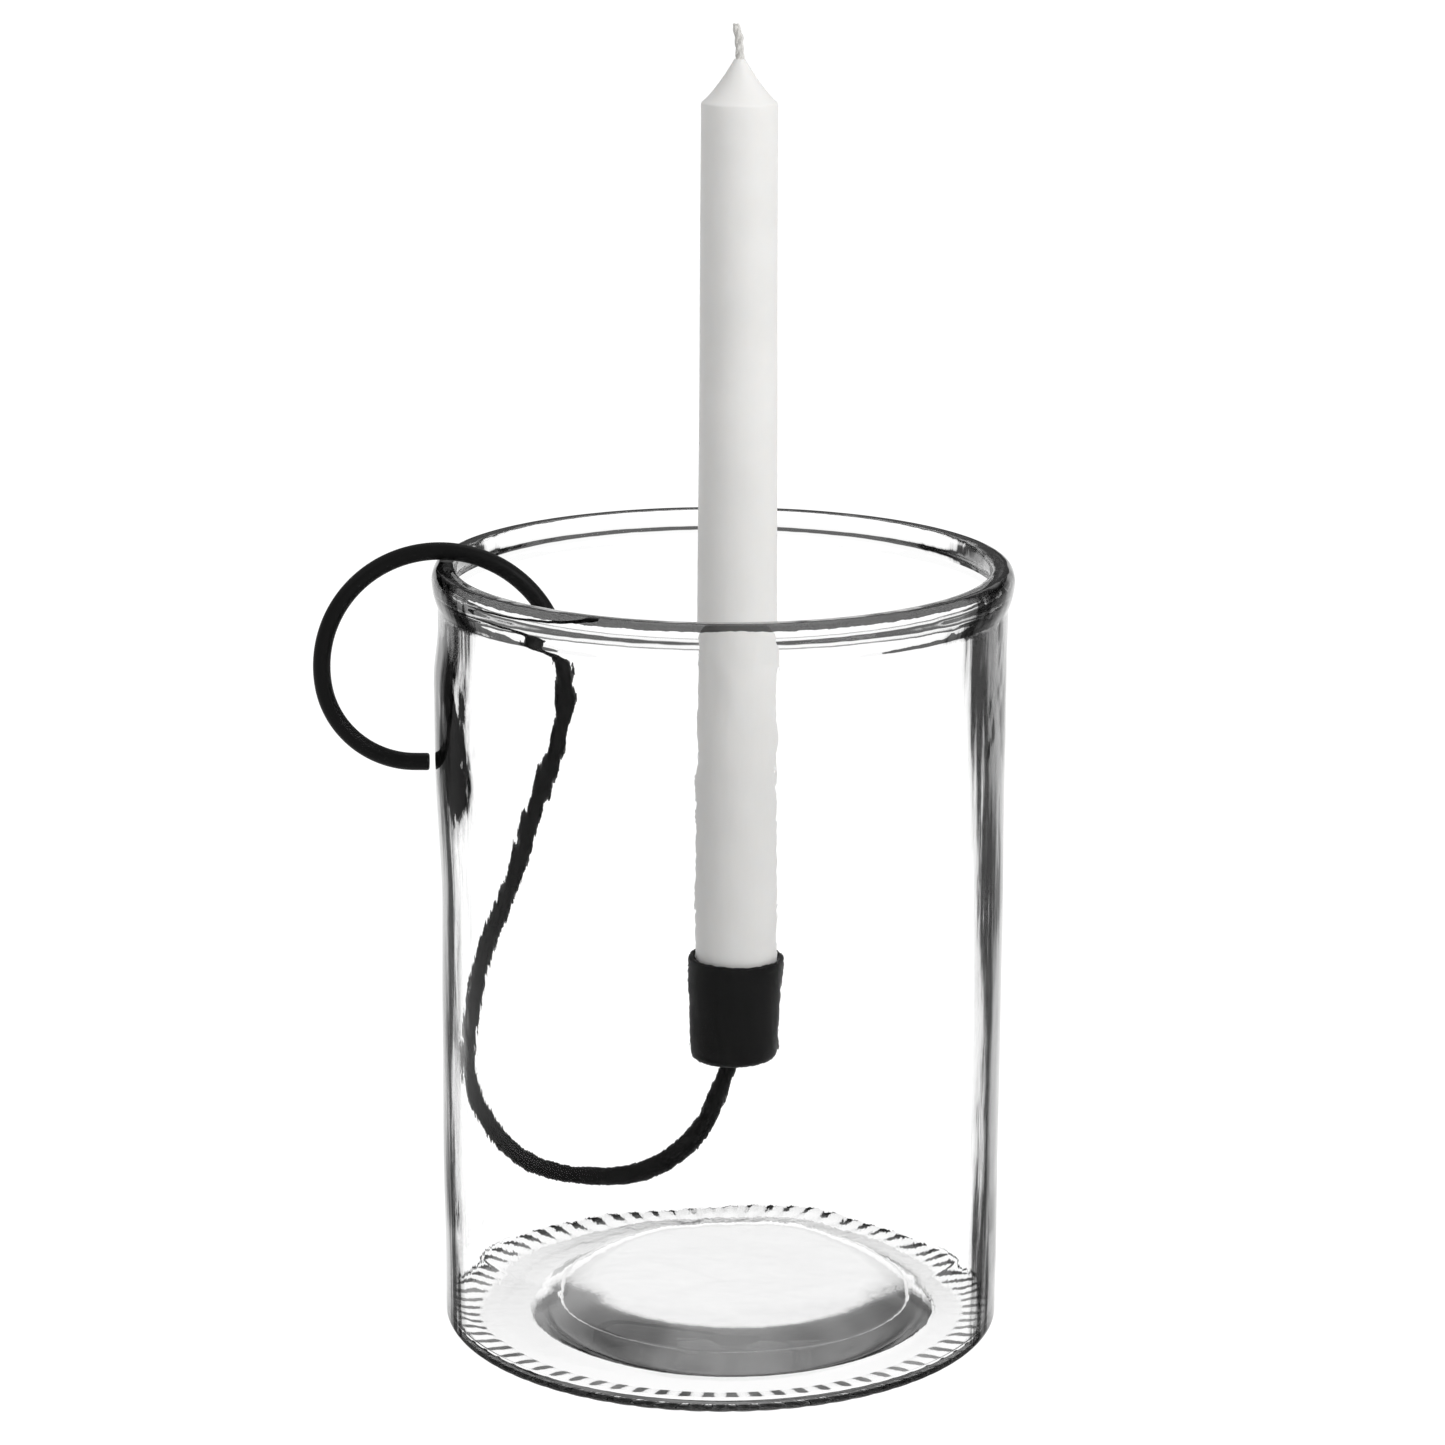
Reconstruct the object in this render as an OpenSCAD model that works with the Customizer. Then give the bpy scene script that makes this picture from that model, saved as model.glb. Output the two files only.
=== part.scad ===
// Glass lantern with a hanging candle holder.
// A bent steel rod hooks over the lip of a pressed glass jar. Its outer end curls into a ring
// handle, and its inner end drops down the wall, loops up and carries a cup for a dinner candle.
// Millimetres, +Z up. The origin is the middle of the jar's resting ring, on the table.
// The rod lies in the XZ plane and hooks over the lip on the -X side.

/* [Jar] */
// Outside diameter of the jar's wall
jar_d = 161; // [130:1:200]
// Height of the jar, table to the top of the lip
jar_h = 223.4; // [210:0.2:300]
// Thickness of the jar's wall
wall_t = 3.4; // [2.6:0.1:5]
// Thickness of the jar's floor
floor_t = 3.4; // [2.6:0.1:6]
// Radius of the rounded heel, outside
heel_r = 3; // [2:0.5:6]
// Radius of the corner between the wall and the floor, inside
floor_r = 5; // [3:0.5:8]

/* [Lip] */
// Radius of the round bead that rims the mouth
bead_r = 3.9; // [3.2:0.1:4.4]
// How far the bead stands proud of the jar's outside
bead_out = 1.6; // [1:0.1:2.2]
// Radius of the soft skirt from the bead down to the wall, seen in section
skirt_r = 18; // [14:0.5:24]
// How far below the bead's middle the skirt starts
skirt_drop = 0.6; // [0.4:0.1:1]

/* [Base] */
// Width of the flat ring that the jar stands on
foot_w = 13; // [11:0.5:15]
// How far the underside is lifted inside the resting ring
foot_lift = 0.8; // [0.6:0.1:2]
// Width of the flat band between the resting ring and the slope
band_w = 6.5; // [2:0.5:10]
// Width of the slope up to the raised middle of the floor
slope_w = 7; // [4:0.5:9]
// Rise of the raised middle of the floor
punt_rise = 4; // [2:0.5:8]
// Number of grip notches in the resting ring
notch_count = 72; // [36:4:84]
// Length of a grip notch, along the radius
notch_l = 6; // [4:0.5:7]
// Width of a grip notch
notch_w = 2.2; // [1:0.1:3]
// Depth of a grip notch
notch_depth = 0.5; // [0.3:0.05:0.6]
// Width of the flat glass between the notches and the rounded heel
notch_edge = 4.5; // [3:0.5:5]

/* [Rod] */
// Diameter of the steel rod
rod_d = 5; // [4:0.5:6]
// Centreline radius of the arch over the lip
ring_r = 34; // [32:0.5:37]
// Centreline radius of the ring handle's outer curl
curl_r = 26; // [22:0.5:30]
// Distance of the arch's middle outside the crest of the lip
arch_out = 1.5; // [0:0.5:4]
// Angle round the arch at which the curl begins, from the +X direction
curl_a = 189; // [180:1:200]
// Centreline radius of the bend that comes down inside the jar
shoulder_r = 60; // [48:1:72]
// Angle round the arch at which the shoulder bend begins, from the +X direction
shoulder_a = 16; // [5:1:25]
// Lean of the straight run from the vertical
lean_a = 19.6; // [18:0.2:24]
// Centreline radius of the easy bend into the lower loop
entry_r = 100; // [80:1:120]
// Lean that is left where the easy bend meets the lower loop
entry_a = 3; // [1:0.5:6]
// Angle from the horizontal at which the rod rises to the cup
rise_a = 68.5; // [60:0.5:80]
// Straight length of rod under the cup
rise_l = 14.5; // [10:0.5:20]

/* [Cup] */
// Height of the cup
cup_h = 31.5; // [20:0.5:45]
// Thickness of the cup's wall at its mouth
cup_wall = 1.5; // [1.3:0.1:2.5]
// Thickness of the cup's floor
cup_floor = 2; // [1.8:0.1:4]
// How much narrower the cup is at its foot, on the radius
cup_taper = 0.6; // [0:0.1:0.6]
// Radius of the cup's lower corner
cup_corner_r = 3.2; // [1.5:0.1:3.2]
// Distance of the cup's axis from the jar's axis, along +X
cup_x = 4; // [-10:0.5:15]
// Width of the weld round the rod, on the radius
weld_w = 1.4; // [0.8:0.1:2]
// Height of the weld
weld_h = 1.6; // [0.8:0.1:2.5]

/* [Candle] */
// Diameter of the candle at its butt
candle_d = 23.6; // [18:0.2:30]
// How much thinner the candle is at its shoulder, on the diameter
candle_taper = 2.4; // [0:0.2:4]
// Length of the candle, butt to the tip of the wax
candle_l = 285; // [100:5:350]
// Height of the pointed tip above the shoulder
tip_h = 12; // [6:0.5:20]
// Radius of the wax where the wick leaves it
tip_r = 1.9; // [1.8:0.1:3]
// How far the pointed tip's side is hollowed
tip_hollow = 0.45; // [0.1:0.05:1]
// Diameter of the wick
wick_d = 2.4; // [1.5:0.1:2.8]
// Length of wick above the wax
wick_out = 10; // [6:0.5:20]
// Lean of the wick's end from the vertical
wick_lean = 14; // [5:1:25]

/* [Clearances] */
// Gap between the rod and the glass where it rests on the lip and against the wall
rod_gap = 0.3; // [0.2:0.05:0.5]
// Gap between the end of the ring handle and the lip's outside, for lifting the holder out
lift_gap = 1.4; // [1.3:0.1:4]
// Gap between the candle and the cup's wall, on the radius
candle_gap = 0.4; // [0.2:0.05:1]
// Gap between the candle's butt and the cup's floor
seat_gap = 0.2; // [0.1:0.05:0.5]
// Gap between the wick and the wax, on the radius
wick_gap = 0.05; // [0.02:0.01:0.1]

/* [Hidden] */
$fn = 96;
// Overshoot of a cutting shape past the face that it cuts
past = 1;
// A round bar is drawn in lengths, and a hair-thin ring covers each join between two of them
ring_proud = 0.02;
ring_w = 0.4;

jar_r = jar_d / 2;
bore_r = jar_r - wall_t;
// Middle of the lip's bead in the half section, as [distance from the axis, height]
bead_c = [jar_r + bead_out - bead_r, jar_h - bead_r];
floor_z = floor_t + foot_lift;
foot_out_r = jar_r - heel_r;
foot_in_r = foot_out_r - foot_w;
slope_r = foot_in_r - band_w;
punt_r = slope_r - slope_w;
notch_mid_r = foot_out_r - notch_edge - notch_l / 2;

rod_r = rod_d / 2;
// Centrelines of the rod's bends, as [x, z] in the plane of the rod. The arch rests on the bead
arch_drop = sqrt(pow(ring_r - rod_r - rod_gap - bead_r, 2) - pow(arch_out, 2));
arch_c = [-(bead_c[0] + arch_out), bead_c[1] - arch_drop];
curl_c = arch_c + (ring_r - curl_r) * heading(curl_a);
shoulder_c = arch_c - (shoulder_r - ring_r) * heading(shoulder_a);
run_top = shoulder_c + shoulder_r * heading(-lean_a);
// The lower loop fills the span from the wall to the foot of the cup
wall_x = -(bore_r - rod_gap - rod_r);
loop_r = (cup_x - rise_l * cos(rise_a) - wall_x) / (1 + sin(rise_a));
entry_off = (entry_r - loop_r) * heading(-entry_a);
loop_x = wall_x + loop_r;
// The straight run is tangent to the entry bend, which sets how low the loop hangs
entry_x = loop_x + entry_off[0];
entry_z = run_top[1] + ((entry_x - run_top[0]) * cos(lean_a) - entry_r) / sin(lean_a);
entry_c = [entry_x, entry_z];
loop_c = entry_c - entry_off;
run_end = entry_c - entry_r * heading(-lean_a);
loop_end = loop_c + loop_r * heading(rise_a - 90);
tail_z = curl_c[1] - curl_r;
tail_x = -(jar_r + bead_out + lift_gap);

// Joins between the rod's lengths, as [arc centre, arc radius, angle round the arc]
rod_joins = [
    [curl_c, curl_r, 270],
    [arch_c, ring_r, curl_a],
    [arch_c, ring_r, shoulder_a],
    [shoulder_c, shoulder_r, -lean_a],
    [entry_c, entry_r, 180 - lean_a],
    [loop_c, loop_r, 180 - entry_a],
    [loop_c, loop_r, 270 + rise_a]
];

// The rod ends flush in the underside of the cup
cup_z = loop_end[1] + rise_l * sin(rise_a);
cup_bore_r = candle_d / 2 + candle_gap;
cup_r = cup_bore_r + cup_wall;
cup_foot_r = cup_r - cup_taper;

butt_z = cup_z + cup_floor + seat_gap;
tip_z = butt_z + candle_l;
shoulder_z = tip_z - tip_h;
butt_r = candle_d / 2;
top_r = butt_r - candle_taper / 2;
wick_r = wick_d / 2;
wick_bend_r = wick_out / sin(wick_lean);

// Unit vector at an angle from +X, in the plane of the rod
function heading(a) = [cos(a), sin(a)];

// Stands a drawing made in XY up in the XZ plane, at a point [x, z]
module upright(at = [0, 0]) {
    translate([at[0], 0, at[1]]) rotate([90, 0, 0]) children();
}

// Bend of the rod: a round bar along an arc about c, from angle a0 to a1
module bend(c, r, a0, a1, bar_r) {
    upright(c) rotate([0, 0, a0])
        rotate_extrude(angle = a1 - a0) translate([r, 0]) circle(r = bar_r);
}

// Ring over the join at angle a round the arc about c
module join_ring(c, r, a, bar_r) {
    upright(c) rotate([0, 0, a]) translate([r, 0, 0]) rotate([90, 0, 0])
        cylinder(r = bar_r + ring_proud, h = ring_w, center = true);
}

// Straight bar from p, along angle a, of length l
module straight(p, a, l, bar_r) {
    upright(p) rotate([0, 0, a]) rotate([0, 90, 0]) cylinder(r = bar_r, h = l);
}

// Rectangle with one rounded corner, at its lower right
module heeled_rect(w, h, r) {
    square([w - r, h]);
    translate([0, r]) square([w, h - r]);
    translate([w - r, r]) circle(r = r);
}

// Half section of the jar without its lip, as a solid block
module block_outline() {
    heeled_rect(jar_r, bead_c[1], heel_r);
}

// Half section of the lip: the round bead, and the skirt that eases it into the wall
module lip_outline() {
    translate(bead_c) circle(r = bead_r);
    intersection() {
        translate([jar_r + bead_out - skirt_r, bead_c[1]]) circle(r = skirt_r);
        translate([bore_r + wall_t / 2, bead_c[1] - skirt_r]) square([skirt_r, skirt_r - skirt_drop]);
    }
}

// Half section of the raised middle of the floor, standing on the height z
module punt_outline(z) {
    polygon([[0, z], [slope_r, z], [punt_r, z + punt_rise], [0, z + punt_rise]]);
}

// Half section of the space inside the jar
module cavity_outline() {
    difference() {
        translate([0, floor_z]) heeled_rect(bore_r, bead_c[1] - floor_z + past, floor_r);
        translate([0, -past]) square([punt_r, floor_z + past]);
        punt_outline(floor_z);
    }
}

// Half section of the hollow under the floor
module underside_outline() {
    translate([0, -past]) square([foot_in_r, foot_lift + past]);
    punt_outline(foot_lift);
}

module glass_jar() {
    color([0.86, 0.9, 0.9, 0.35])
        difference() {
            rotate_extrude()
                union() {
                    difference() {
                        block_outline();
                        cavity_outline();
                        underside_outline();
                    }
                    lip_outline();
                }
            for (i = [0 : notch_count - 1])
                rotate([0, 0, i * 360 / notch_count])
                    translate([notch_mid_r, 0, 0])
                        cube([notch_l, notch_w, 2 * notch_depth], center = true);
        }
}

module hanger_rod() {
    color([0.1, 0.1, 0.1]) {
        straight([curl_c[0], tail_z], 0, tail_x - curl_c[0], rod_r);
        bend(curl_c, curl_r, curl_a, 270, rod_r);
        bend(arch_c, ring_r, shoulder_a, curl_a, rod_r);
        bend(shoulder_c, shoulder_r, -lean_a, shoulder_a, rod_r);
        straight(run_end, 90 - lean_a, norm(run_top - run_end), rod_r);
        bend(entry_c, entry_r, 180 - lean_a, 180 - entry_a, rod_r);
        bend(loop_c, loop_r, 180 - entry_a, 270 + rise_a, rod_r);
        rod_end();
        for (j = rod_joins) join_ring(j[0], j[1], j[2], rod_r);
    }
}

// Straight end of the rod, cut level with the underside of the cup
module rod_end() {
    difference() {
        straight(loop_end, rise_a, rise_l + rod_d, rod_r);
        translate([cup_x - cup_r, -cup_r, cup_z]) cube([2 * cup_r, 2 * cup_r, rod_d * 2]);
    }
}

// Fillet of weld round the rod, under the cup
module cup_weld() {
    color([0.13, 0.13, 0.13])
        difference() {
            translate([cup_x, 0, cup_z - weld_h])
                cylinder(r1 = rod_r + weld_w / 2, r2 = rod_r + weld_w, h = weld_h);
            straight(loop_end, rise_a, rise_l + rod_d, rod_r);
        }
}

module candle_cup() {
    color([0.12, 0.12, 0.12])
        translate([cup_x, 0, cup_z])
            difference() {
                rotate_extrude()
                    polygon(concat(
                        [[0, 0]],
                        cup_corner(12),
                        [[cup_r, cup_h], [0, cup_h]]
                    ));
                translate([0, 0, cup_floor]) cylinder(r = cup_bore_r, h = cup_h);
            }
}

// Points of the cup's rounded lower corner, in n steps
function cup_corner(n) = [
    for (i = [0 : n])
        [cup_foot_r - cup_corner_r, cup_corner_r] + cup_corner_r * heading(-90 + 90 * i / n)
];

// Point on the hollowed side of the tip, t from 0 at the shoulder to 1 at the wick
function tip_point(t) = [
    top_r + (tip_r - top_r) * t - tip_hollow * sin(180 * t),
    shoulder_z + tip_h * t
];

module candle() {
    color([0.93, 0.92, 0.89])
        translate([cup_x, 0, 0])
            difference() {
                rotate_extrude()
                    polygon(concat(
                        [[0, butt_z], [butt_r, butt_z]],
                        [for (i = [0 : 8]) tip_point(i / 8)],
                        [[0, tip_z]]
                    ));
                translate([0, 0, butt_z - past])
                    cylinder(r = wick_r + wick_gap, h = candle_l + 2 * past);
            }
}

module wick() {
    color([0.85, 0.84, 0.8])
        translate([cup_x, 0, 0]) {
            translate([0, 0, butt_z]) cylinder(r = wick_r, h = candle_l);
            bend([-wick_bend_r, tip_z], wick_bend_r, 0, wick_lean, wick_r);
            join_ring([-wick_bend_r, tip_z], wick_bend_r, 0, wick_r);
        }
}

glass_jar();
hanger_rod();
cup_weld();
candle_cup();
candle();
wick();
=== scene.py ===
"""Looks of the glass lantern with its hanging candle holder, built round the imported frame.

Shapes are worked out in millimetres and turned to metres as each mesh is made. +Z is up, the rod lies
in the XZ plane and the camera looks along +Y. The pieces replace the CAD nodes one for one.
"""

import bpy
import numpy as np
from mathutils import Matrix, Vector


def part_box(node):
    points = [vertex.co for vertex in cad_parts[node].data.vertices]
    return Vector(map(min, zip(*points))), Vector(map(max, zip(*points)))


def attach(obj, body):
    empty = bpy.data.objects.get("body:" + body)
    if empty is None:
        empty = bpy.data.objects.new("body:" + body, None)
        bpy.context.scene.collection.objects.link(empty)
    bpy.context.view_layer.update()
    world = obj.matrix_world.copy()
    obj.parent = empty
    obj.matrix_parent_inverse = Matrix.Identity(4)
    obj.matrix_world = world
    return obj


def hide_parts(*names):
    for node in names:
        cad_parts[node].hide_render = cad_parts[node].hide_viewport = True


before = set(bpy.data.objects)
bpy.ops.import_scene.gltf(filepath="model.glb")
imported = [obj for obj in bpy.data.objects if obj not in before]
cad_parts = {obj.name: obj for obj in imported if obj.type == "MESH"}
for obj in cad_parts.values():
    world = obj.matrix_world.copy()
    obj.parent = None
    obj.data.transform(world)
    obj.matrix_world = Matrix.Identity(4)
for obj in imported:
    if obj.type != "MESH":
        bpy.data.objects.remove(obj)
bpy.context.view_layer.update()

MM = 0.001

# ---------------------------------------------------------------- sizes, in millimetres

# The jar: its wall, lip and base
JAR_R = 80.5
BORE_R = 77.1
LIP_TOP = 223.4
BEAD_R = 3.9
BEAD_OUT = 1.6
LIP_CREST_R = 79.6
LIP_INNER_R = 1.6
LIP_DIP = 0.15
LIP_BORE_R = 75.2
LIP_EASE = (220.4, 215.4)
SKIRT_R = 18.0
SKIRT_FILLET = 5.0
HEEL_R = 2.0
BASE_BORE_R = 78.2
FLOOR_Z = 3.0
FLOOR_CORNER_R = 1.5
FOOT_R = 64.5
FOOT_CONE = (54.0, 69.5)
FOOT_LIFT = 0.8
SLOPE_R = 58.4
SLOPE_A = 30.0
LEDGE_W = 0.8
DOME_R = 24.0
DOME_FLAT = 38.0
PUNT_SHIFT = 3.5
NOTCHES = 72
NOTCH_RAMP = (69.2, 73.6)
NOTCH_DEPTH = 0.54

# The hand of the glass: slow waves in the wall and a swelling on the hook side, near the top
OUTER_WAVES = [
    (0.16, 2, 260, 0.4), (0.10, -3, 150, 1.9), (0.06, 5, -88, 2.6),
    (0.05, -7, 61, 0.8), (0.03, 11, 47, 4.0),
]
INNER_WAVES = [
    (0.08, 3, 190, 5.0), (0.06, -4, 105, 1.1), (0.04, 6, 64, 3.7),
    (0.03, -9, 43, 0.2), (0.02, 13, -31, 2.2),
]
SWELL = 1.6

# The rod, as in the CAD: arcs about centres that follow from these
ROD_R = 2.5
RING_R = 34.0
CURL_R = 26.0
CURL_A = 189.0
ARCH_OUT = 1.5
SHOULDER_R = 60.0
SHOULDER_A = 16.0
LEAN_A = 19.6
ENTRY_R = 100.0
ENTRY_A = 3.0
RISE_A = 68.5
RISE_L = 14.5
ROD_GAP = 0.3
TAIL_GAP = 1.4
END_EDGE = 0.7

# The cup, the candle and the wick
CUP_X = 4.0
CUP_R = 13.7
CUP_FOOT_R = 13.1
CUP_BORE_R = 12.2
CUP_H = 31.5
CUP_FLOOR = 2.0
CUP_CORNER_R = 3.2
WELD_R = 3.9
WELD_H = 1.6
BUTT_R = 11.8
SHOULDER_WAX_R = 10.6
TIP_H = 12.0
TIP_R = 1.5
WAX_WAVES = [(1, 2, 170, 0.3), (0.8, -3, 90, 2.0)]
WAX_WAVE = 0.05
WICK_R = 1.2
STRANDS = 3
STRAND_R = 0.66
STRAND_OFF = 0.58
STRAND_TURN = 8.5
WICK_LEAN = 0.012


# ---------------------------------------------------------------- outlines and meshes

def smooth(a, b, x):
    """0 up to a, 1 from b on, with an easy curve between them."""
    t = np.clip((np.asarray(x, float) - a) / (b - a), 0, 1)
    return t * t * (3 - 2 * t)


def heading(degrees):
    """Unit vector at an angle from +X."""
    a = np.radians(degrees)
    return np.array([np.cos(a), np.sin(a)])


def arc(centre, radius, a0, a1, step):
    """Points along an arc, about step apart."""
    count = max(2, int(abs(np.radians(a1 - a0)) * radius / step) + 1)
    a = np.radians(np.linspace(a0, a1, count + 1))
    return np.c_[centre[0] + radius * np.cos(a), centre[1] + radius * np.sin(a)]


def line(p, q, step):
    """Points along a straight line, about step apart."""
    p, q = np.array(p, float), np.array(q, float)
    count = max(1, int(np.linalg.norm(q - p) / step))
    return p + (q - p) * np.linspace(0, 1, count + 1)[:, None]


def chain(*parts):
    """Joins stretches of points, without the doubled ends."""
    points = [np.asarray(parts[0], float)]
    for part in parts[1:]:
        part = np.asarray(part, float)
        points.append(part[1:] if np.linalg.norm(points[-1][-1] - part[0]) < 1e-3 else part)
    return np.concatenate(points)


def rounded(corners, radii, step):
    """Straight stretches through the corners, each inner corner rounded to its radius."""
    corners = [np.array(c, float) for c in corners]
    parts, start = [], corners[0]
    for before, corner, after, radius in zip(corners, corners[1:], corners[2:], radii):
        u = (before - corner) / np.linalg.norm(before - corner)
        v = (after - corner) / np.linalg.norm(after - corner)
        half = np.arccos(np.clip(u @ v, -1, 1)) / 2
        reach = radius / np.tan(half)
        centre = corner + (u + v) / np.linalg.norm(u + v) * radius / np.sin(half)
        p, q = corner + u * reach, corner + v * reach
        a0 = np.degrees(np.arctan2(*(p - centre)[::-1]))
        turn = (np.degrees(np.arctan2(*(q - centre)[::-1])) - a0 + 180) % 360 - 180
        parts += [line(start, p, step), arc(centre, radius, a0, a0 + turn, min(step, radius / 3))]
        start = q
    return chain(*parts, line(start, corners[-1], step))


def bezier(p0, p1, p2, p3, count):
    """Points along a cubic curve."""
    t = np.linspace(0, 1, count + 1)[:, None]
    p0, p1, p2, p3 = (np.array(p, float) for p in (p0, p1, p2, p3))
    return (1 - t) ** 3 * p0 + 3 * (1 - t) ** 2 * t * p1 + 3 * (1 - t) * t * t * p2 + t**3 * p3


def mesh_object(name, points, faces):
    """A smooth-shaded object from points in millimetres."""
    mesh = bpy.data.meshes.new(name)
    mesh.from_pydata((np.asarray(points) * MM).tolist(), [], faces)
    mesh.polygons.foreach_set("use_smooth", [True] * len(mesh.polygons))
    mesh.validate()
    mesh.update()
    piece = bpy.data.objects.new(name, mesh)
    bpy.context.scene.collection.objects.link(piece)
    return piece


def skin(rings, start, end):
    """Points and faces over a grid, rings by sides, closed round each ring and by a point at each end."""
    count, sides = rings.shape[:2]
    points = rings.reshape(-1, 3)
    i = np.arange(count - 1)[:, None] * sides
    j = np.arange(sides)[None, :]
    k = (j + 1) % sides
    faces = np.stack([i + j, i + k, i + sides + k, i + sides + j], -1).reshape(-1, 4).tolist()
    points = np.vstack([points, start, end])
    last = (count - 1) * sides
    steps = [(a, (a + 1) % sides) for a in range(sides)]
    faces += [[len(points) - 2, b, a] for a, b in steps]
    faces += [[len(points) - 1, last + a, last + b] for a, b in steps]
    return points, faces


def lathe(outline, sides, warp=None):
    """Turns an outline of (radius, height), which starts and ends on the axis, about Z.

    warp takes the grid's angle, radius and height and gives its points.
    """
    angle = np.linspace(0, 2 * np.pi, sides, endpoint=False)[None, :]
    radius = np.repeat(outline[1:-1, :1], sides, 1)
    height = np.repeat(outline[1:-1, 1:], sides, 1)
    angle = np.repeat(angle, len(radius), 0)
    if warp is None:
        rings = np.stack([radius * np.cos(angle), radius * np.sin(angle), height], -1)
    else:
        rings = warp(angle, radius, height)
    return skin(rings, rings[0].mean(0), rings[-1].mean(0))


def tube(path, radius, sides):
    """Sweeps a circle along points; radius is one number or one for each point. The ends are closed."""
    path = np.asarray(path, float)
    along = np.gradient(path, axis=0)
    along /= np.linalg.norm(along, axis=1)[:, None]
    across = np.cross(along, [0.0, 1.0, 0.0])
    across /= np.linalg.norm(across, axis=1)[:, None]
    up = np.cross(along, across)
    a = np.linspace(0, 2 * np.pi, sides, endpoint=False)
    reach = np.broadcast_to(radius, len(path))[:, None, None]
    circle = np.cos(a)[None, :, None] * across[:, None] + np.sin(a)[None, :, None] * up[:, None]
    rings = path[:, None] + reach * circle
    return skin(rings, path[0], path[-1])


def merged(*parts):
    """Joins several (points, faces) into one."""
    points, faces, offset = [], [], 0
    for p, f in parts:
        points.append(p)
        faces += [[v + offset for v in face] for face in f]
        offset += len(p)
    return np.vstack(points), faces


# ---------------------------------------------------------------- the jar

BEAD_C = np.array([JAR_R + BEAD_OUT - BEAD_R, LIP_TOP - BEAD_R])


def lip_outline():
    """The lip's section, from the outer wall up over the top to the bore."""
    skirt_c = np.array([JAR_R + BEAD_OUT - SKIRT_R, BEAD_C[1]])
    ease_x = JAR_R + SKIRT_FILLET
    ease_z = skirt_c[1] - np.sqrt((SKIRT_R + SKIRT_FILLET) ** 2 - (ease_x - skirt_c[0]) ** 2)
    ease_a = np.degrees(np.arctan2(skirt_c[1] - ease_z, ease_x - skirt_c[0]))
    edge_x = JAR_R + BEAD_OUT
    crown = [(LIP_CREST_R, LIP_TOP), (LIP_BORE_R, LIP_TOP - LIP_DIP), (LIP_BORE_R, LIP_EASE[0])]
    middle = (LIP_EASE[0] + LIP_EASE[1]) / 2
    return chain(
        arc((ease_x, ease_z), SKIRT_FILLET, 180, 180 - ease_a, 0.4),
        arc(skirt_c, SKIRT_R, -ease_a, 0, 0.6),
        bezier((edge_x, BEAD_C[1]), (edge_x, LIP_TOP - 2.0), (LIP_CREST_R + 1.4, LIP_TOP), crown[0], 16),
        rounded(crown, [LIP_INNER_R], 0.5),
        bezier(crown[-1], (LIP_BORE_R, middle), (BORE_R, middle), (BORE_R, LIP_EASE[1]), 12),
    )


def jar_outline():
    """Half section of the whole jar, from the axis underneath, out, up, over the lip and back inside."""
    cone_in, cone_out = FOOT_CONE
    foot = rounded(
        [(cone_in - 2, FOOT_LIFT), (cone_in, FOOT_LIFT), (cone_out, 0), (JAR_R, 0), (JAR_R, 30)],
        [5, 5, HEEL_R], 0.5,
    )
    slope = np.radians(SLOPE_A)
    dome_end = DOME_FLAT + DOME_R * np.sin(slope)
    ledge_z = FLOOR_Z + (SLOPE_R - dome_end - LEDGE_W) * np.tan(slope)
    dome_c = np.array([DOME_FLAT, ledge_z - DOME_R * np.cos(slope)])
    inside = rounded(
        [(BORE_R, LIP_EASE[1]), (BORE_R, 30), (BASE_BORE_R, 9), (BASE_BORE_R, FLOOR_Z),
         (SLOPE_R, FLOOR_Z), (dome_end + LEDGE_W, ledge_z), (dome_end, ledge_z)],
        [20, 20, FLOOR_CORNER_R, 1.0, 0.25], 1.5,
    )
    dome = arc(dome_c, DOME_R, 90 - SLOPE_A, 90, 0.7)
    lip = lip_outline()
    wall = line((JAR_R, 30), lip[0], 3.0)
    middle = line((0, FOOT_LIFT), foot[0], 4.0)
    return chain(middle, foot, wall, lip, inside, dome, [(0, dome[-1][1])])


def ripple(angle, height, waves):
    """Sum of slow waves over the wall: each is (size, turns round, wavelength up, phase)."""
    return sum(
        size * np.sin(turns * angle + 2 * np.pi * height / length + phase)
        for size, turns, length, phase in waves
    )


def warp_jar(angle, radius, height):
    """Gives the turned jar its hand: uneven walls, a floor a little off centre, and the grip notches."""
    wall = smooth(70, 76, radius) * smooth(4, 22, height) * smooth(214, 196, height)
    outside = smooth(78.5, 79.5, radius)
    swell = SWELL * smooth(125, 170, height) * smooth(208, 190, height)
    swell = swell * smooth(0.8, 1.0, -np.cos(angle))
    radius = radius + wall * outside * (swell + ripple(angle, height, OUTER_WAVES))
    radius = radius - wall * (1 - outside) * ripple(angle, height, INNER_WAVES)
    beat = np.abs((angle * NOTCHES / (2 * np.pi)) % 1 - 0.5) * 2
    notch = NOTCH_DEPTH * np.interp(radius, NOTCH_RAMP, (0, 1)) * smooth(1.0, 0.0, beat)
    height = np.where(height < 1, np.maximum(height, notch), height)
    shift = PUNT_SHIFT * smooth(63.5, 57, radius)
    return np.stack([radius * np.cos(angle) + shift, radius * np.sin(angle), height], -1)


def make_jar():
    """The jar: turned from its section, then warped."""
    piece = mesh_object("jar_glass", *lathe(jar_outline(), NOTCHES * 10, warp_jar))
    piece.data.materials.append(glass())
    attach(piece, "jar")
    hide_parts("glass_jar")
    return piece


# ---------------------------------------------------------------- the hanger

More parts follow.
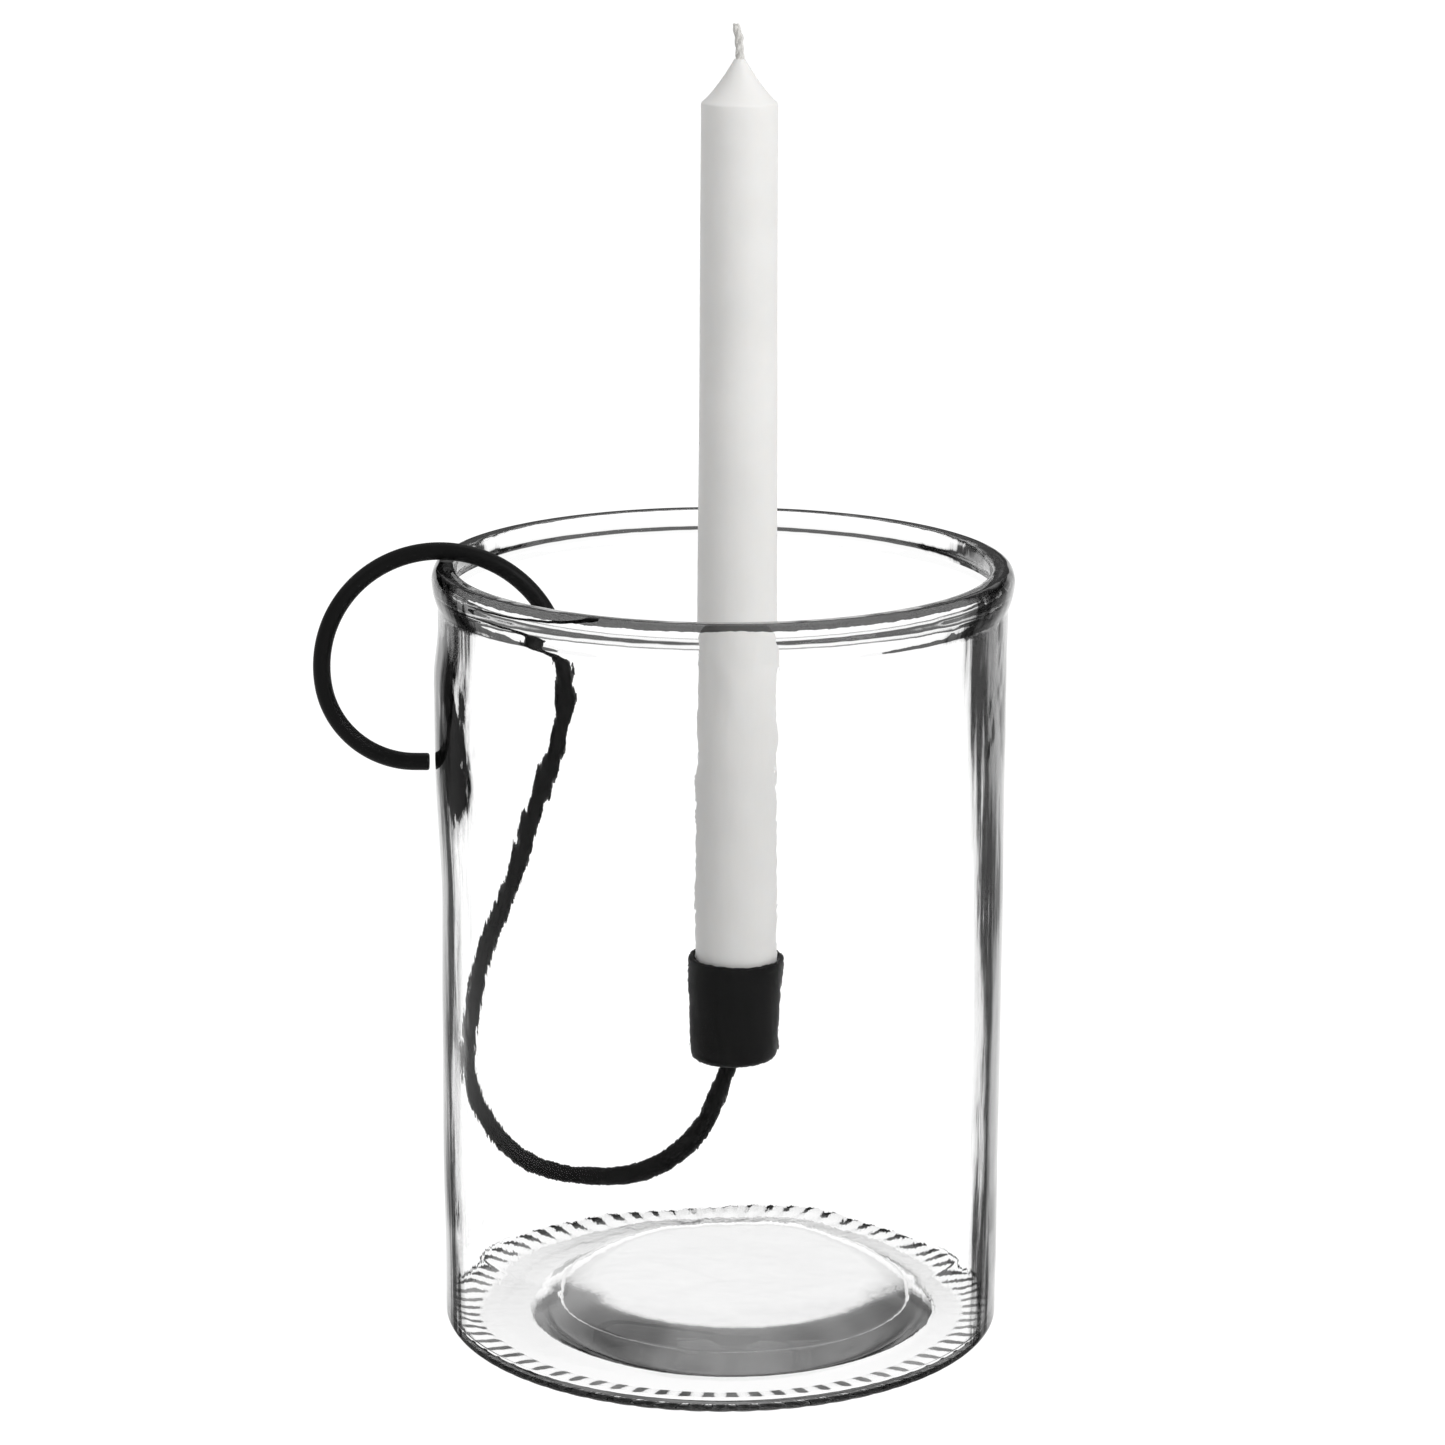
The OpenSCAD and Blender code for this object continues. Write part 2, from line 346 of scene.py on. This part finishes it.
def rod_path(step=1.2):
    """Centreline of the rod as [x, z], from the end of the ring handle to the cup."""
    arch_drop = np.sqrt((RING_R - ROD_R - ROD_GAP - BEAD_R) ** 2 - ARCH_OUT**2)
    arch_c = np.array([-(BEAD_C[0] + ARCH_OUT), BEAD_C[1] - arch_drop])
    curl_c = arch_c + (RING_R - CURL_R) * heading(CURL_A)
    shoulder_c = arch_c - (SHOULDER_R - RING_R) * heading(SHOULDER_A)
    run_top = shoulder_c + SHOULDER_R * heading(-LEAN_A)
    wall_x = -(BORE_R - ROD_GAP - ROD_R)
    rise = np.radians(RISE_A)
    lean = np.radians(LEAN_A)
    loop_r = (CUP_X - RISE_L * np.cos(rise) - wall_x) / (1 + np.sin(rise))
    entry_off = (ENTRY_R - loop_r) * heading(-ENTRY_A)
    entry_x = wall_x + loop_r + entry_off[0]
    entry_z = run_top[1] + ((entry_x - run_top[0]) * np.cos(lean) - ENTRY_R) / np.sin(lean)
    entry_c = np.array([entry_x, entry_z])
    loop_c = entry_c - entry_off
    loop_end = loop_c + loop_r * heading(RISE_A - 90)
    tail = np.array([-(JAR_R + BEAD_OUT + TAIL_GAP), curl_c[1] - CURL_R])
    return chain(
        line(tail, (curl_c[0], tail[1]), step),
        arc(curl_c, CURL_R, 270, CURL_A, step),
        arc(arch_c, RING_R, CURL_A, SHOULDER_A, step),
        arc(shoulder_c, SHOULDER_R, SHOULDER_A, -LEAN_A, step),
        line(run_top, entry_c - ENTRY_R * heading(-LEAN_A), step),
        arc(entry_c, ENTRY_R, 180 - LEAN_A, 180 - ENTRY_A, step),
        arc(loop_c, loop_r, 180 - ENTRY_A, 270 + RISE_A, step),
        line(loop_end, loop_end + RISE_L * heading(RISE_A), step),
    )


def make_rod():
    """The bent rod: a round bar with a dressed end, and its other end let into the cup's floor."""
    path = rod_path()
    along = (path[1] - path[0]) / np.linalg.norm(path[1] - path[0])
    turn = np.radians(np.linspace(0, 90, 7))
    dressed = path[0] + along * (END_EDGE * (1 - np.cos(turn)))[:, None]
    radii = np.r_[ROD_R - END_EDGE * (1 - np.sin(turn)), np.full(len(path) - 1, ROD_R)]
    path = np.vstack([dressed, path[1:]])
    path = np.c_[path[:, 0], np.zeros(len(path)), path[:, 1]]
    piece = mesh_object("rod_steel", *tube(path, radii, 40))
    piece.data.materials.append(black_coat("rod_black", 0.006, 0.42, 0.35))
    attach(piece, "hanger")
    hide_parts("hanger_rod")
    return piece


def off_axis(points, x, z):
    """Points moved from about the axis to their place."""
    return points + np.array([x, 0, z])


def make_cup(cup_z):
    """The cup: spun steel with a rounded foot and a dressed rim."""
    rim = (CUP_R - CUP_BORE_R) / 2
    outline = rounded(
        [(0, 0), (CUP_FOOT_R, 0), (CUP_FOOT_R + 0.05, CUP_CORNER_R + 1), (CUP_R, CUP_H * 0.75),
         (CUP_R, CUP_H), (CUP_BORE_R, CUP_H), (CUP_BORE_R, CUP_FLOOR), (0, CUP_FLOOR)],
        [CUP_CORNER_R, 4.0, 4.0, rim * 0.8, rim * 0.8, 1.2], 1.0,
    )
    points, faces = lathe(outline, 128)
    piece = mesh_object("cup_steel", off_axis(points, CUP_X, cup_z), faces)
    piece.data.materials.append(black_coat("cup_black", 0.006, 0.5, 0.8))
    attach(piece, "hanger")
    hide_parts("candle_cup")
    return piece


def make_weld(cup_z):
    """The weld round the rod, a lumpy fillet under the cup."""
    slope = 1 / np.tan(np.radians(RISE_A))

    def warp(angle, radius, height):
        lumps = 1 + 0.07 * np.sin(11 * angle) + 0.05 * np.sin(5 * angle + 1)
        lumps = lumps + 0.03 * np.sin(23 * angle + 2)
        spread = radius * np.where(radius > ROD_R, lumps, 1)
        return np.stack([spread * np.cos(angle) + height * slope, spread * np.sin(angle), height], -1)

    outline = chain(
        line((0, 0.15), (WELD_R, 0.15), 0.5),
        bezier((WELD_R, 0.15), (WELD_R - 0.5, -0.5), (ROD_R + 0.2, -0.8), (ROD_R + 0.05, -WELD_H), 8),
        line((ROD_R + 0.05, -WELD_H), (0, -WELD_H), 0.6),
    )[::-1]
    points, faces = lathe(outline, 96, warp)
    piece = mesh_object("weld_bead", off_axis(points, CUP_X, cup_z), faces)
    piece.data.materials.append(black_coat("weld_black", 0.006, 0.55, 1.0))
    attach(piece, "hanger")
    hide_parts("cup_weld")
    return piece


# ---------------------------------------------------------------- the candle

def make_candle(butt_z, tip_z):
    """The dinner candle: a slow taper, a crisp shoulder and a hollowed, pointed tip."""
    shoulder = tip_z - TIP_H
    tip = bezier(
        (SHOULDER_WAX_R, shoulder), (8.3, shoulder + 1.6), (4.3, shoulder + 7.0), (TIP_R, tip_z - 0.1),
        22,
    )
    body = rounded(
        [(0, butt_z), (BUTT_R, butt_z), (SHOULDER_WAX_R, shoulder), tuple(tip[2])], [0.8, 0.9], 4.0,
    )
    outline = chain(body, tip[2:], [(TIP_R, tip_z - 0.1), (TIP_R * 0.6, tip_z), (0, tip_z)])

    def warp(angle, radius, height):
        side = smooth(butt_z + 40, butt_z + 70, height) * smooth(shoulder, shoulder - 20, height)
        radius = radius + side * WAX_WAVE * ripple(angle, height, WAX_WAVES)
        return np.stack([radius * np.cos(angle), radius * np.sin(angle), height], -1)

    points, faces = lathe(outline, 128, warp)
    piece = mesh_object("candle_wax", off_axis(points, CUP_X, 0), faces)
    piece.data.materials.append(wax())
    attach(piece, "candle")
    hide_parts("candle")
    return piece


def make_wick(butt_z, tip_z, top_z):
    """The wick: a core in the wax, and three plied strands above it that lean a little to -X."""
    core = np.c_[np.zeros(3), np.zeros(3), [butt_z + 0.2, (butt_z + tip_z) / 2, tip_z - 2]]
    parts = [tube(core, WICK_R, 20)]
    z = np.linspace(tip_z - 3, top_z - 0.9, 60)
    rise = z - tip_z
    lean = -WICK_LEAN * np.clip(rise, 0, None) ** 2
    fray = 1 - 0.5 * smooth(top_z - 2.2, top_z - 0.9, z) ** 2
    for strand in range(STRANDS):
        turn = 2 * np.pi * (strand / STRANDS + rise / STRAND_TURN)
        off = STRAND_OFF + 0.1 * np.sin(rise * 1.3 + strand)
        path = np.c_[lean + off * np.cos(turn), off * np.sin(turn), z]
        thick = (STRAND_R + 0.07 * np.sin(rise * 2.1 + 2 * strand)) * fray
        parts.append(tube(path, thick, 14))
    points, faces = merged(*parts)
    piece = mesh_object("wick_cotton", off_axis(points, CUP_X, 0), faces)
    piece.data.materials.append(cotton())
    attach(piece, "candle")
    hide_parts("wick")
    return piece


# ---------------------------------------------------------------- materials

class Nodes:
    """The node tree of a new material or world, with short calls to add and join nodes."""

    def __init__(self, owner, output="OutputMaterial"):
        owner.use_nodes = True
        self.owner = owner
        self.tree = owner.node_tree
        self.tree.nodes.clear()
        self.output = self.add(output)

    def add(self, kind, inputs=None, **settings):
        node = self.tree.nodes.new("ShaderNode" + kind)
        for key, value in settings.items():
            setattr(node, key, value)
        for key, value in (inputs or {}).items():
            self.put(node.inputs[key], value)
        return node

    def put(self, socket, value):
        if isinstance(value, bpy.types.NodeSocket):
            self.tree.links.new(value, socket)
        else:
            socket.default_value = value

    def place(self, scale=(1, 1, 1)):
        """Object coordinates, stretched by scale."""
        here = self.add("TexCoord").outputs["Object"]
        return self.add("Mapping", {"Vector": here, "Scale": scale}).outputs[0]

    def noise(self, scale, detail=3.0, stretch=(1, 1, 1), rough=0.5):
        """Noise with scale cells to a metre."""
        settings = {"Vector": self.place(stretch), "Scale": scale, "Detail": detail, "Roughness": rough}
        return self.add("TexNoise", settings).outputs["Fac"]

    def ramp(self, factor, *stops):
        """Colour ramp; each stop is (place, colour), the colour one number for a grey or three."""
        node = self.add("ValToRGB", {"Fac": factor})
        elements = node.color_ramp.elements
        while len(elements) < len(stops):
            elements.new(0.5)
        for element, (place, colour) in zip(elements, stops):
            rgb = (colour,) * 3 if isinstance(colour, (int, float)) else colour
            element.position = place
            element.color = (*rgb, 1)
        return node.outputs["Color"]

    def maths(self, operation, a, b=0.5):
        """One maths node; ABSOLUTE takes no b."""
        return self.add("Math", {0: a, 1: b}, operation=operation).outputs[0]

    def bump(self, height, strength, distance, normal=None):
        """A normal bumped by height, distance metres deep, on top of an earlier normal."""
        inputs = {"Height": height, "Strength": strength, "Distance": distance}
        if normal is not None:
            inputs["Normal"] = normal
        return self.add("Bump", inputs).outputs[0]

    def mix(self, factor, a, b):
        """Shader a where factor is 0 and b where it is 1."""
        return self.add("MixShader", {"Fac": factor, 1: a, 2: b}).outputs[0]

    def show(self, shader):
        """Joins the shader to the output and returns the material or world."""
        self.put(self.output.inputs["Surface"], shader)
        return self.owner


# Painted shade on the wall: its colour, and the share of its dark band, from face on at 0 to edge on at 1
EDGE_PAINTED_SHADE = [(0.0, 0.99), (0.62, 0.96), (0.70, 0.34), (0.75, 0.06), (1.0, 0.06)]
EDGE_BAND = [(0.69, 0.0), (0.725, 0.8), (0.79, 0.8), (0.85, 0.0)]
# Share of the mirror that the wall gives up, by how strongly it mirrors
SHEER = [(0.0, 0.8), (0.2, 0.8), (0.32, 0.15), (0.6, 0.0)]
# Painted shade: the edge is darkened more near the top and on the +X side.
# Each is added to the edge by height or by x, in metres
TOP_PAINTED_SHADE = [(0.15, 0.0), (0.185, 0.07), (0.205, 0.13)]
SIDE_PAINTED_SHADE = [(0.02, 0.0), (0.07, 0.055)]
# Painted shade for the heel's and the rim's dark lines: their inner radius in millimetres, height in
# metres and darkness
HEEL_IN = JAR_R - 1.2
HEEL_TOP = 0.0028
HEEL_SHADE = 0.97
RIM_IN = 79.0
RIM_LOW = 0.2216
RIM_SHADE = 0.98
# Radius in millimetres that parts the outer wall from the bore, and height in metres of the underside
WALL_IN = 79.0
UNDER_TOP = 0.002
UNDER_ROUGH = 0.12
GLASS_IOR = 1.5
# A ray that has crossed more faces than this is caught in the glass, and shows what leaks out of it
CAUGHT = 4.5
LEAK = [(0.36, 0.03), (0.62, 0.24)]
# Painted shade: how grey the dark edge band makes what shows through the wall
BAND_GREY = 0.08


def glass():
    """Clear pressed glass with painted shade: darker, streaked edges and dark heel and rim lines; drawn
    waves down the wall and a softer underside.
    """
    n = Nodes(bpy.data.materials.new("glass_clear"))
    place = n.add("SeparateXYZ", {0: n.add("TexCoord").outputs["Object"]})
    high = place.outputs["Z"]
    flat = n.add("CombineXYZ", {0: place.outputs["X"], 1: place.outputs["Y"]}).outputs[0]
    out = n.add("VectorMath", {0: flat}, operation="LENGTH").outputs["Value"]
    surface = n.add("NewGeometry")
    inner = surface.outputs["Backfacing"]
    upright = n.add("SeparateXYZ", {0: surface.outputs["Normal"]}).outputs["Z"]
    upright = n.ramp(n.maths("ABSOLUTE", upright), (0.55, 1.0), (0.9, 0.0))
    outside = n.maths("MULTIPLY", upright, n.maths("GREATER_THAN", out, WALL_IN * MM))
    outside = n.maths("MAXIMUM", outside, n.maths("GREATER_THAN", high, LIP_EASE[1] * MM))
    # Noise that streaks the painted shade at the edges and jitters the painted rim line
    drawn = n.maths("MULTIPLY", n.maths("SUBTRACT", n.noise(130, 5, (1, 1, 0.07), 0.65), 0.5), 0.45)
    facing = n.add("LayerWeight", {"Blend": 0.5}).outputs["Facing"]
    streaked = n.maths("ADD", facing, drawn)
    # Painted shade, added to the edge darkening by height and by x
    thick = n.maths("ADD", n.ramp(high, *TOP_PAINTED_SHADE), n.ramp(place.outputs["X"], *SIDE_PAINTED_SHADE))
    wide = n.maths("ADD", streaked, thick)
    # Painted shade: the wall's colour darkens towards its streaked edges
    tint_and_painted_shade = n.ramp(n.maths("MULTIPLY", wide, outside), *EDGE_PAINTED_SHADE)

    # Painted shade: a black line on the outer heel and one on the outer top of the rim, on faces seen
    # from outside
    heel = n.maths("GREATER_THAN", out, HEEL_IN * MM)
    heel = n.maths("MULTIPLY", heel, n.maths("LESS_THAN", high, HEEL_TOP))
    rim_z = n.maths("ADD", high, n.maths("MULTIPLY", drawn, 0.004))
    rim = n.maths("GREATER_THAN", out, RIM_IN * MM)
    rim = n.maths("MULTIPLY", rim, n.maths("GREATER_THAN", rim_z, RIM_LOW))
    heel_painted_shade = n.maths("MULTIPLY", heel, HEEL_SHADE)
    dark = n.maths("MAXIMUM", heel_painted_shade, n.maths("MULTIPLY", rim, RIM_SHADE))
    dark = n.maths("MULTIPLY", dark, n.maths("SUBTRACT", 1.0, inner))
    tint_and_painted_shade = n.add("MixRGB", {"Fac": dark, 1: tint_and_painted_shade, 2: (0.0, 0.0, 0.0, 1)}).outputs[0]

    under = n.maths("LESS_THAN", high, UNDER_TOP)
    under = n.maths("MULTIPLY", under, n.maths("LESS_THAN", out, FOOT_R * MM))
    swirl = n.noise(55, 2, (1, 1, 0.7))
    swirl = n.maths("MULTIPLY", swirl, n.ramp(high, (0.14, 0.12), (0.20, 1.0)))
    normal = n.bump(n.noise(60, 4, (1, 1, 0.12), 0.6), 0.25, 0.0002)
    normal = n.bump(n.noise(300, 3, (1, 1, 0.6)), 0.6, 0.00003, normal)
    normal = n.bump(swirl, 0.5, 0.0012, normal)
    body = n.add("BsdfPrincipled", {
        "Base Color": tint_and_painted_shade, "Roughness": n.maths("MULTIPLY", under, UNDER_ROUGH), "IOR": GLASS_IOR,
        "Transmission Weight": 1.0, "Normal": normal, "Specular Tint": (0.08, 0.08, 0.08, 1),
    })
    fresnel = n.add("Fresnel", {"IOR": GLASS_IOR, "Normal": normal}).outputs[0]
    passing = n.add("Gamma", {"Color": tint_and_painted_shade, "Gamma": 0.5}).outputs[0]
    bent = n.add("BsdfRefraction", {
        "Color": passing, "Roughness": 0.0, "IOR": GLASS_IOR, "Normal": normal,
    })
    sheer = n.maths("MULTIPLY", upright, n.ramp(fresnel, *SHEER))
    pane = n.mix(sheer, body.outputs[0], bent.outputs[0])
    path = n.add("LightPath")
    lamp = n.maths("MAXIMUM", path.outputs["Is Shadow Ray"], path.outputs["Is Diffuse Ray"])
    entering = n.maths("SUBTRACT", outside, inner)
    # Painted shade: near the edges the wall shows what is behind it through a dark grey
    band = n.maths("MULTIPLY", n.ramp(wide, *EDGE_BAND), entering)
    shade = n.ramp(facing, (0.0, 0.95), (0.6, 0.85), (0.85, 0.45), (1.0, 0.35))
    shade = n.add("MixRGB", {"Fac": heel, 1: shade, 2: (0.1, 0.1, 0.1, 1)}).outputs[0]
    trapped = n.maths("GREATER_THAN", path.outputs["Ray Depth"], CAUGHT)
    leak = n.ramp(n.noise(24, 3), *LEAK)
    grey = (BAND_GREY, BAND_GREY, BAND_GREY, 1)
    dim = n.add("MixRGB", {"Fac": trapped, 1: grey, 2: leak}).outputs[0]
    shade = n.add("MixRGB", {"Fac": lamp, 1: dim, 2: shade}).outputs[0]
    clear = n.add("BsdfTransparent", {"Color": shade})
    through = n.maths("MAXIMUM", n.maths("MAXIMUM", lamp, band), trapped)
    return n.show(n.mix(through, pane, clear.outputs[0]))


def black_coat(name, shade, roughness, grain):
    """Matt black powder coat: an orange-peel skin, fine pale specks and a patchy sheen."""
    n = Nodes(bpy.data.materials.new(name))
    patches = n.noise(90, 3)
    peel = n.noise(1500, 2)
    specks = n.add("TexVoronoi", {"Vector": n.place(), "Scale": 900}).outputs["Distance"]
    speck = n.ramp(specks, (0.0, shade * 5), (0.06, shade * 1.1), (1.0, shade))
    rough = n.ramp(patches, (0.35, roughness - 0.05), (0.65, roughness + 0.08))
    normal = n.bump(peel, 0.25 * grain, 0.0001)
    body = n.add("BsdfPrincipled", {
        "Base Color": speck, "Roughness": rough, "Specular IOR Level": 0.07, "Normal": normal,
        "Sheen Weight": 0.05, "Sheen Roughness": 0.35,
    })
    return n.show(body.outputs[0])


def wax():
    """White candle wax: soft, faintly mottled, with light pulled marks."""
    n = Nodes(bpy.data.materials.new("wax_white"))
    mottle = n.ramp(n.noise(45, 4), (0.3, (0.80, 0.795, 0.78)), (0.7, (0.85, 0.845, 0.83)))
    rough = n.ramp(n.noise(120, 3), (0.3, 0.42), (0.7, 0.55))
    marks = n.noise(260, 3, (1, 1, 0.1))
    body = n.add("BsdfPrincipled", {
        "Base Color": mottle, "Roughness": rough, "Subsurface Weight": 0.35, "Subsurface Scale": 0.004,
        "Specular IOR Level": 0.4, "Normal": n.bump(marks, 0.12, 0.0003),
    })
    body.inputs["Subsurface Radius"].default_value = (1.0, 0.9, 0.8)
    return n.show(body.outputs[0])


def cotton():
    """Waxed cotton: fine fibres along the strands, with painted shade making it greyer in the hollows."""
    n = Nodes(bpy.data.materials.new("wick_cotton"))
    fibres = n.noise(2600, 3, (1, 1, 0.25))
    # Painted shade: the noise that bumps the fibres also greys them where they sink
    colour = n.ramp(fibres, (0.3, (0.52, 0.51, 0.49)), (0.7, (0.84, 0.83, 0.80)))
    body = n.add("BsdfPrincipled", {
        "Base Color": colour, "Roughness": 0.75, "Normal": n.bump(fibres, 0.6, 0.0002),
    })
    return n.show(body.outputs[0])


# ---------------------------------------------------------------- floor, light and camera

def backdrop_ray(n):
    """1 for a ray that shows the surroundings: from the camera, off a gloss or through glass."""
    path = n.add("LightPath")
    seen = n.maths("MAXIMUM", path.outputs["Is Camera Ray"], path.outputs["Is Glossy Ray"])
    return n.maths("MAXIMUM", seen, path.outputs["Is Transmission Ray"])


def make_floor():
    """A plain white floor: it keeps the shadow, and reads as white where light reaches it."""
    a = np.linspace(0, 2 * np.pi, 96, endpoint=False)
    rim = np.c_[np.cos(a), np.sin(a), np.zeros(len(a))] * 14000
    floor = mesh_object("floor", np.vstack([rim, [0, 0, 0]]), [[i, (i + 1) % 96, 96] for i in range(96)])
    n = Nodes(bpy.data.materials.new("floor_white"))
    matt = n.add("BsdfDiffuse", {"Color": (0.8, 0.8, 0.8, 1)}).outputs[0]
    white = n.add("Emission", {"Color": (1, 1, 1, 1), "Strength": 1.25}).outputs[0]
    floor.data.materials.append(n.show(n.mix(n.maths("MULTIPLY", backdrop_ray(n), 0.8), matt, white)))


# Brightness of the surroundings as gloss and glass show them, from straight down at 0 to straight up at 1
SKY = [
    (0.0, 1.0), (0.563, 1.0), (0.582, 0.12), (0.64, 0.14), (0.68, 0.80), (0.76, 0.80), (1.0, 0.35),
]
SKY_LIGHT = 0.42


def make_world():
    """White to the camera; dim overhead as gloss and glass show it; an even soft light otherwise."""
    n = Nodes(bpy.data.worlds.new("studio"), "OutputWorld")
    up = n.add("SeparateXYZ", {0: n.add("TexCoord").outputs["Generated"]}).outputs["Z"]
    sky = n.ramp(n.maths("ADD", n.maths("MULTIPLY", up, 0.5), 0.5), *SKY)
    camera = n.add("LightPath").outputs["Is Camera Ray"]
    seen = n.add("Background", {"Color": sky, "Strength": 1.0}).outputs[0]
    white = n.add("Background", {"Color": (1, 1, 1, 1), "Strength": 1.0}).outputs[0]
    even = n.add("Background", {"Color": (1, 1, 1, 1), "Strength": SKY_LIGHT}).outputs[0]
    bpy.context.scene.world = n.show(n.mix(camera, n.mix(backdrop_ray(n), even, seen), white))


def make_lamp(name, place, size, power, target=(0, 0, 0.15)):
    """A soft box at place, size across, turned to the target."""
    data = bpy.data.lights.new(name, "AREA")
    data.shape = "RECTANGLE"
    data.size, data.size_y = size
    data.energy = power
    lamp = bpy.data.objects.new(name, data)
    bpy.context.scene.collection.objects.link(lamp)
    away = Vector(place) - Vector(target)
    lamp.matrix_world = Matrix.Translation(place) @ away.to_track_quat("Z", "Y").to_matrix().to_4x4()


LAMPS = [
    ("key", (1.0, -0.85, 1.0), (0.9, 0.9), 13.2),
    ("fill", (-1.2, -0.6, 1.2), (0.9, 0.9), 3),
    ("top", (0.1, 0.5, 1.7), (1.0, 0.7), 4.5),
]

# The photograph's camera: place in metres, angles in radians, lens in millimetres on a 36 mm sensor
CAMERA_AT = (-0.000055, -1.1848, 0.4735)
CAMERA_DOWN = 0.2454
CAMERA_ROLL = 0.0037
CAMERA_LENS = 107.03


def make_camera():
    """The photograph's view: 14 degrees down, 1.28 m off, on a long lens."""
    data = bpy.data.cameras.new("camera")
    data.sensor_width = 36.0
    data.lens = CAMERA_LENS
    data.clip_end = 100
    camera = bpy.data.objects.new("camera", data)
    bpy.context.scene.collection.objects.link(camera)
    tilt = Matrix.Rotation(np.pi / 2 - CAMERA_DOWN, 4, "X")
    roll = Matrix.Rotation(CAMERA_ROLL, 4, "Z")
    camera.matrix_world = Matrix.Translation(CAMERA_AT) @ tilt @ roll
    bpy.context.scene.camera = camera


# ---------------------------------------------------------------- the scene

def main():
    """Makes every piece where the CAD says, then the stage."""
    cup_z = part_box("candle_cup")[0].z / MM
    butt_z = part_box("candle")[0].z / MM
    tip_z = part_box("candle")[1].z / MM
    top_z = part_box("wick")[1].z / MM
    make_jar()
    make_rod()
    make_cup(cup_z)
    make_weld(cup_z)
    make_candle(butt_z, tip_z)
    make_wick(butt_z, tip_z, top_z)
    make_floor()
    make_world()
    for lamp in LAMPS:
        make_lamp(*lamp)
    make_camera()
    bpy.context.scene.view_settings.view_transform = "Standard"


main()
